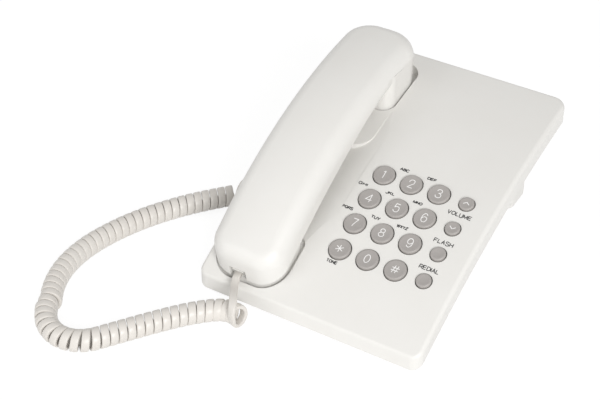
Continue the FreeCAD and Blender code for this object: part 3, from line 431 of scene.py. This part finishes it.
def lettered(text):
    """Strokes of a word in a box of one by one."""
    widths = [LETTER_SHARES.get(letter, 1.0) for letter in text]
    total = sum(widths) + LETTER_GAP * (len(text) - 1)
    strokes = []
    start = 0.0
    for letter, width in zip(text, widths):
        for line in ALPHABET[letter]:
            strokes.append([((start + x * width) / total, y) for x, y in line])
        start += width + LETTER_GAP
    return strokes


def stroked(name, strokes, place, width, height, stroke, carrier, body, ink):
    """A mark drawn with strokes in a box of one by one, laid onto a surface of the keypad's tilt."""
    points = []
    faces = []
    for line in strokes:
        sized = [((x - 0.5) * (width - stroke) * MM, (y - 0.5) * (height - stroke) * MM) for x, y in line]
        ribbon(sized, stroke * MM / 2, points, faces)
    mesh = bpy.data.meshes.new(name)
    mesh.from_pydata(points, [], faces)
    laid_on(mesh, place, carrier)
    printed_piece(name, mesh, body, ink)


def key_top(name):
    """Middle of a key's upper face."""
    points = [vertex.co for vertex in nodes[name].data.vertices]
    across = [point.x for point in points]
    up = [point.dot(UP_PANEL) for point in points]
    out = max(point.dot(OUT_OF_PANEL) for point in points)
    middle_up = (max(up) + min(up)) / 2
    return ACROSS * ((max(across) + min(across)) / 2) + UP_PANEL * middle_up + OUT_OF_PANEL * out


# Letters and digits, as strokes in a box of one by one
LETTER_GAP = 0.34
LETTER_SHARES = {"I": 0.08, "J": 0.8, "M": 1.25, "W": 1.45, "O": 1.15, "Q": 1.15, "G": 1.1, "L": 0.85}
LEFT_STEM = straight((0.0, 0.0), (0.0, 1.0))
RIGHT_STEM = straight((1.0, 0.0), (1.0, 1.0))
LETTER_P = [LEFT_STEM, bent((0.0, 1.0), (1.1, 1.03), (1.1, 0.42), (0.0, 0.45))]
LETTER_O = oval(0.5, 0.5, 0.5, 0.5)
ALPHABET = {
    "A": [straight((0.0, 0.0), (0.5, 1.0), (1.0, 0.0)), straight((0.2, 0.36), (0.8, 0.36))],
    "B": [
        LEFT_STEM, bent((0.0, 1.0), (1.0, 1.03), (1.0, 0.52), (0.0, 0.54)),
        bent((0.0, 0.54), (1.1, 0.56), (1.1, -0.03), (0.0, 0.0))],
    "C": [bent((0.98, 0.78), (0.8, 1.06), (0.0, 1.1), (0.0, -0.1), (0.8, -0.06), (0.98, 0.22))],
    "D": [LEFT_STEM, bent((0.0, 1.0), (1.1, 1.04), (1.1, -0.04), (0.0, 0.0))],
    "E": [straight((0.95, 1.0), (0.0, 1.0), (0.0, 0.0), (0.95, 0.0)), straight((0.0, 0.52), (0.85, 0.52))],
    "F": [straight((0.95, 1.0), (0.0, 1.0), (0.0, 0.0)), straight((0.0, 0.5), (0.8, 0.5))],
    "G": [
        bent((0.96, 0.8), (0.78, 1.06), (0.0, 1.1), (0.0, -0.1), (0.85, -0.06), (1.0, 0.42)),
        straight((1.0, 0.42), (0.55, 0.42))],
    "H": [LEFT_STEM, RIGHT_STEM, straight((0.0, 0.52), (1.0, 0.52))],
    "I": [straight((0.5, 0.0), (0.5, 1.0))],
    "J": [bent((1.0, 1.0), (1.0, 0.3), (0.95, -0.08), (0.1, -0.1), (0.0, 0.3))],
    "K": [LEFT_STEM, straight((0.95, 1.0), (0.0, 0.38)), straight((0.3, 0.58), (1.0, 0.0))],
    "L": [straight((0.0, 1.0), (0.0, 0.0), (1.0, 0.0))],
    "M": [LEFT_STEM, straight((0.0, 1.0), (0.5, 0.1), (1.0, 1.0)), straight((1.0, 1.0), (1.0, 0.0))],
    "N": [LEFT_STEM, straight((0.0, 1.0), (1.0, 0.0)), RIGHT_STEM],
    "O": [LETTER_O],
    "P": LETTER_P,
    "Q": [LETTER_O, straight((0.6, 0.28), (1.0, -0.04))],
    "R": [*LETTER_P, straight((0.5, 0.45), (1.0, 0.0))],
    "S": [bent(
        (0.94, 0.8), (0.8, 1.07), (0.05, 1.08), (0.0, 0.62), (1.0, 0.44), (1.0, -0.08), (0.15, -0.08),
        (0.02, 0.2))],
    "T": [straight((0.0, 1.0), (1.0, 1.0)), straight((0.5, 1.0), (0.5, 0.0))],
    "U": [bent((0.0, 1.0), (0.0, 0.3), (0.05, -0.12), (0.95, -0.12), (1.0, 0.3), (1.0, 1.0))],
    "V": [straight((0.0, 1.0), (0.5, 0.0), (1.0, 1.0))],
    "W": [straight((0.0, 1.0), (0.25, 0.0), (0.5, 0.9), (0.75, 0.0), (1.0, 1.0))],
    "X": [straight((0.0, 0.0), (1.0, 1.0)), straight((0.0, 1.0), (1.0, 0.0))],
    "Y": [straight((0.0, 1.0), (0.5, 0.48), (1.0, 1.0)), straight((0.5, 0.48), (0.5, 0.0))],
    "Z": [straight((0.05, 1.0), (0.95, 1.0), (0.0, 0.0), (1.0, 0.0))],
}
NINE = bent(
    (0.1, 0.15), (0.25, -0.03), (0.7, -0.05), (0.98, 0.25), (0.98, 0.8), (0.7, 1.05), (0.25, 1.05),
    (0.0, 0.8), (0.02, 0.5), (0.3, 0.36), (0.7, 0.38), (0.95, 0.65))
SIX = [(1.0 - x, 1.0 - y) for x, y in NINE]
MARKS = {
    "key_1": [straight((0.0, 0.8), (0.62, 1.0)), straight((0.62, 1.0), (0.62, 0.0))],
    "key_2": [
        bent((0.04, 0.68), (0.05, 1.02), (0.95, 1.06), (1.0, 0.62), (0.55, 0.38), (0.05, 0.0)),
        straight((0.05, 0.0), (1.0, 0.0))],
    "key_3": [
        bent((0.06, 0.78), (0.12, 1.02), (0.88, 1.05), (0.98, 0.6), (0.4, 0.54)),
        bent((0.4, 0.54), (1.04, 0.52), (1.06, -0.03), (0.12, -0.06), (0.02, 0.24))],
    "key_4": [straight((0.72, 1.0), (0.0, 0.28), (1.0, 0.28)), straight((0.72, 1.0), (0.72, 0.0))],
    "key_5": [
        straight((0.92, 1.0), (0.2, 1.0), (0.1, 0.5)),
        bent((0.1, 0.5), (0.4, 0.7), (1.02, 0.64), (1.02, -0.02), (0.25, -0.08), (0.02, 0.2))],
    "key_6": [SIX],
    "key_7": [straight((0.02, 1.0), (0.98, 1.0)), bent((0.98, 1.0), (0.5, 0.55), (0.36, 0.0))],
    "key_8": [oval(0.5, 0.77, 0.4, 0.23), oval(0.5, 0.27, 0.48, 0.27)],
    "key_9": [NINE],
    "key_0": [oval(0.5, 0.5, 0.48, 0.5)],
    "key_star": [
        straight((0.5, 1.0), (0.5, 0.0)), straight((0.02, 0.76), (0.98, 0.24)),
        straight((0.02, 0.24), (0.98, 0.76))],
    "key_hash": [
        straight((0.4, 1.0), (0.22, 0.0)), straight((0.78, 1.0), (0.6, 0.0)),
        straight((0.04, 0.68), (1.0, 0.68)), straight((0.0, 0.32), (0.96, 0.32))],
    "key_volume_up": [straight((0.0, 0.0), (0.5, 1.0), (1.0, 0.0))],
    "key_volume_down": [straight((0.0, 1.0), (0.5, 0.0), (1.0, 1.0))],
}

# White marks on the keys: width, height and stroke, in mm
MARK_SIZE = (4.0, 6.0)
OTHER_MARK_SIZES = {
    "key_1": (2.2, 6.0), "key_4": (4.4, 6.0), "key_star": (5.2, 5.4), "key_hash": (5.4, 5.6),
    "key_volume_up": (4.4, 2.0), "key_volume_down": (4.4, 2.0),
}
MARK_STROKE = 0.52
for key, strokes in MARKS.items():
    width, height = OTHER_MARK_SIZES.get(key, MARK_SIZE)
    stroked(
        key + "_mark", strokes, key_top(key), width, height, MARK_STROKE, surface_of(nodes[key]), key,
        ink_white)

# Dark letter groups at the upper left of the keys: their size, and their place from the key's middle, in mm
LETTERS = {
    "key_2": "ABC", "key_3": "DEF", "key_4": "GHI", "key_5": "JKL",
    "key_6": "MNO", "key_7": "PQRS", "key_8": "TUV", "key_9": "WXYZ",
}
LETTER_WIDTHS = {3: 6.2, 4: 7.4}
LETTER_HEIGHT = 2.1
LETTER_STROKE = 0.48
LETTERS_ASIDE = 5.9
LETTERS_UP = 8.8
panel_surface = surface_of(nodes["upper_shell"])
for key, text in LETTERS.items():
    width = LETTER_WIDTHS[len(text)]
    spot = key_top(key) - ACROSS * ((LETTERS_ASIDE + width / 2) * MM) + UP_PANEL * (LETTERS_UP * MM)
    stroked(
        "letters_" + text.lower(), lettered(text), spot, width, LETTER_HEIGHT, LETTER_STROKE, panel_surface,
        "base", ink_dark)

# Dark words: key that each belongs to, its place across and up from the key's middle, width and height, in mm
WORDS = [
    ("TONE", "key_star", -0.8, -9.0, 7.4, 2.2),
    ("VOLUME", "key_volume_down", -0.6, 10.6, 15.6, 2.9),
    ("FLASH", "key_flash", -0.7, 8.5, 12.6, 2.9),
    ("REDIAL", "key_redial", -0.6, 8.3, 12.8, 2.9),
]
WORD_STROKE = 0.46
for text, key, across, up, width, height in WORDS:
    spot = key_top(key) + ACROSS * (across * MM) + UP_PANEL * (up * MM)
    stroked(
        "word_" + text.lower(), lettered(text), spot, width, height, WORD_STROKE, panel_surface, "base",
        ink_dark)

# Floor and surroundings
FLOOR_REACH = 6.0
FLOOR_COLOR = (0.90, 0.90, 0.90, 1.0)
FLOOR_GLOW = 1.11
FLOOR_SHARE = 0.80
AMBIENT_COLOR = (1.0, 0.995, 0.985, 1.0)
AMBIENT_STRENGTH = 0.50
WHITE = (1.0, 1.0, 1.0, 1.0)


def seen_directly(tree):
    """One where the camera looks, straight, by reflection or through glass, and none elsewhere."""
    rays = tree.nodes.new("ShaderNodeLightPath")
    reflected = tree.nodes.new("ShaderNodeMath")
    reflected.operation = "MAXIMUM"
    either = tree.nodes.new("ShaderNodeMath")
    either.operation = "MAXIMUM"
    tree.links.new(rays.outputs["Is Camera Ray"], reflected.inputs[0])
    tree.links.new(rays.outputs["Is Glossy Ray"], reflected.inputs[1])
    tree.links.new(reflected.outputs["Value"], either.inputs[0])
    tree.links.new(rays.outputs["Is Transmission Ray"], either.inputs[1])
    return either.outputs["Value"]


def floor_material():
    """Pale floor that keeps the shadow and is nearly white for the camera."""
    material = bpy.data.materials.new("floor")
    material.use_nodes = True
    tree = material.node_tree
    tree.nodes.clear()
    out = tree.nodes.new("ShaderNodeOutputMaterial")
    mix = tree.nodes.new("ShaderNodeMixShader")
    plain = tree.nodes.new("ShaderNodeBsdfDiffuse")
    plain.inputs["Color"].default_value = FLOOR_COLOR
    glow = tree.nodes.new("ShaderNodeEmission")
    glow.inputs["Strength"].default_value = FLOOR_GLOW
    share = tree.nodes.new("ShaderNodeMath")
    share.operation = "MULTIPLY"
    share.inputs[1].default_value = FLOOR_SHARE
    tree.links.new(seen_directly(tree), share.inputs[0])
    tree.links.new(share.outputs["Value"], mix.inputs["Fac"])
    tree.links.new(plain.outputs["BSDF"], mix.inputs[1])
    tree.links.new(glow.outputs["Emission"], mix.inputs[2])
    tree.links.new(mix.outputs["Shader"], out.inputs["Surface"])
    return material


floor_corners = [
    (-FLOOR_REACH, -FLOOR_REACH, 0.0), (FLOOR_REACH, -FLOOR_REACH, 0.0),
    (FLOOR_REACH, FLOOR_REACH, 0.0), (-FLOOR_REACH, FLOOR_REACH, 0.0),
]
floor_mesh = bpy.data.meshes.new("floor")
floor_mesh.from_pydata(floor_corners, [], [(0, 1, 2, 3)])
floor_mesh.materials.append(floor_material())
floor = bpy.data.objects.new("floor", floor_mesh)
scene.collection.objects.link(floor)
floor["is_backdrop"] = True

world = bpy.data.worlds.new("studio")
scene.world = world
world.use_nodes = True
sky = world.node_tree
ambient = sky.nodes["Background"]
ambient.inputs["Color"].default_value = AMBIENT_COLOR
ambient.inputs["Strength"].default_value = AMBIENT_STRENGTH
backdrop = sky.nodes.new("ShaderNodeBackground")
backdrop.inputs["Color"].default_value = WHITE
backdrop.inputs["Strength"].default_value = 1.0
either_sky = sky.nodes.new("ShaderNodeMixShader")
sky.links.new(seen_directly(sky), either_sky.inputs["Fac"])
sky.links.new(ambient.outputs["Background"], either_sky.inputs[1])
sky.links.new(backdrop.outputs["Background"], either_sky.inputs[2])
sky.links.new(either_sky.outputs["Shader"], sky.nodes["World Output"].inputs["Surface"])

# Lamps: place, size and power
LAMP_AIM = Vector((0.0, 0.0, 0.03))
LAMPS = {
    "key_light": (Vector((1.38, -1.42, 1.12)), 0.8, 30.5),
    "fill_light": (Vector((-0.9, -1.2, 0.9)), 1.0, 4.5),
}
for name, (place, size, power) in LAMPS.items():
    lamp = bpy.data.lights.new(name, "AREA")
    lamp.shape = "SQUARE"
    lamp.size = size
    lamp.energy = power
    holder = bpy.data.objects.new(name, lamp)
    holder.location = place
    holder.rotation_euler = (LAMP_AIM - place).to_track_quat("-Z", "Y").to_euler()
    scene.collection.objects.link(holder)

# Camera at the photograph's viewing angle
PHOTO_WIDTH = 600
FOCAL_PIXELS = 1479.96
SENSOR_WIDTH = 36.0
CAMERA_PLACE = Vector((0.324746, -0.645904, 0.595148))
CAMERA_AIM = Vector((-0.05181, -0.01802, 0.020))
CAMERA_ROLL = math.radians(-0.12)
camera_data = bpy.data.cameras.new("camera")
camera_data.sensor_width = SENSOR_WIDTH
camera_data.lens = FOCAL_PIXELS * SENSOR_WIDTH / PHOTO_WIDTH
camera = bpy.data.objects.new("camera", camera_data)
scene.collection.objects.link(camera)
look = (CAMERA_AIM - CAMERA_PLACE).to_track_quat("-Z", "Y").to_matrix().to_4x4()
camera.matrix_world = Matrix.Translation(CAMERA_PLACE) @ look @ Matrix.Rotation(CAMERA_ROLL, 4, "Z")
scene.camera = camera
scene.view_settings.view_transform = "Standard"

low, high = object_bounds()
